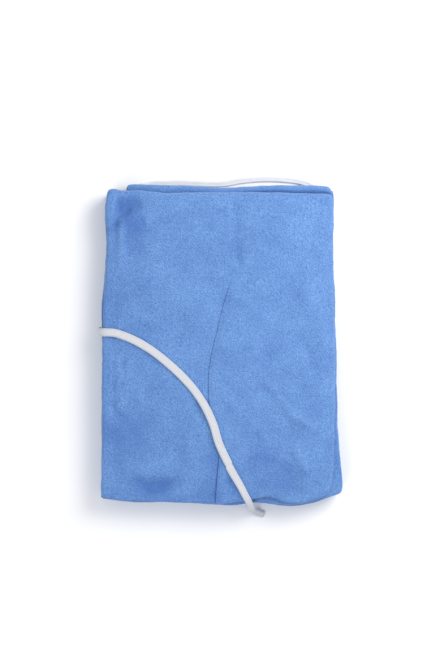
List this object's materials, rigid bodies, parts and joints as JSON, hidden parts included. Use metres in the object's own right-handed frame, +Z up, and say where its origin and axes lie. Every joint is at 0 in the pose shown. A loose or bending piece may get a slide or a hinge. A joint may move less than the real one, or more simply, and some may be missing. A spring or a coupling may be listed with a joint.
{
  "type": "folded surgical gown",
  "caption": "Folded surgical gown of blue nonwoven cloth, a flat packet with stacked fold edges, an overlapping middle edge and white tape ties.",
  "frame": {"origin": "middle of the packet's underside, on the surface that it lies on; the ties are left out of that box", "axes": "+X towards the packet's right side and +Y towards its top fold as seen from above, +Z up, out of the upper face"},
  "size_m": [0.244, 0.3458, 0.0341],
  "materials": {
    "blue_cloth": "soft blue spunbond nonwoven, matt with a faint sheen",
    "blue_cloth_inner": "soft blue spunbond nonwoven, matt, in the shade between folds",
    "white_tape": "off-white folded nonwoven tape, matt"
  },
  "bodies": {
    "root": {"folded_layers": "blue_cloth_inner", "left_panel": "blue_cloth", "right_panel": "blue_cloth", "rear_fold": "blue_cloth", "waist_tie": "white_tape", "neck_tie": "white_tape"}
  },
  "joints": []
}
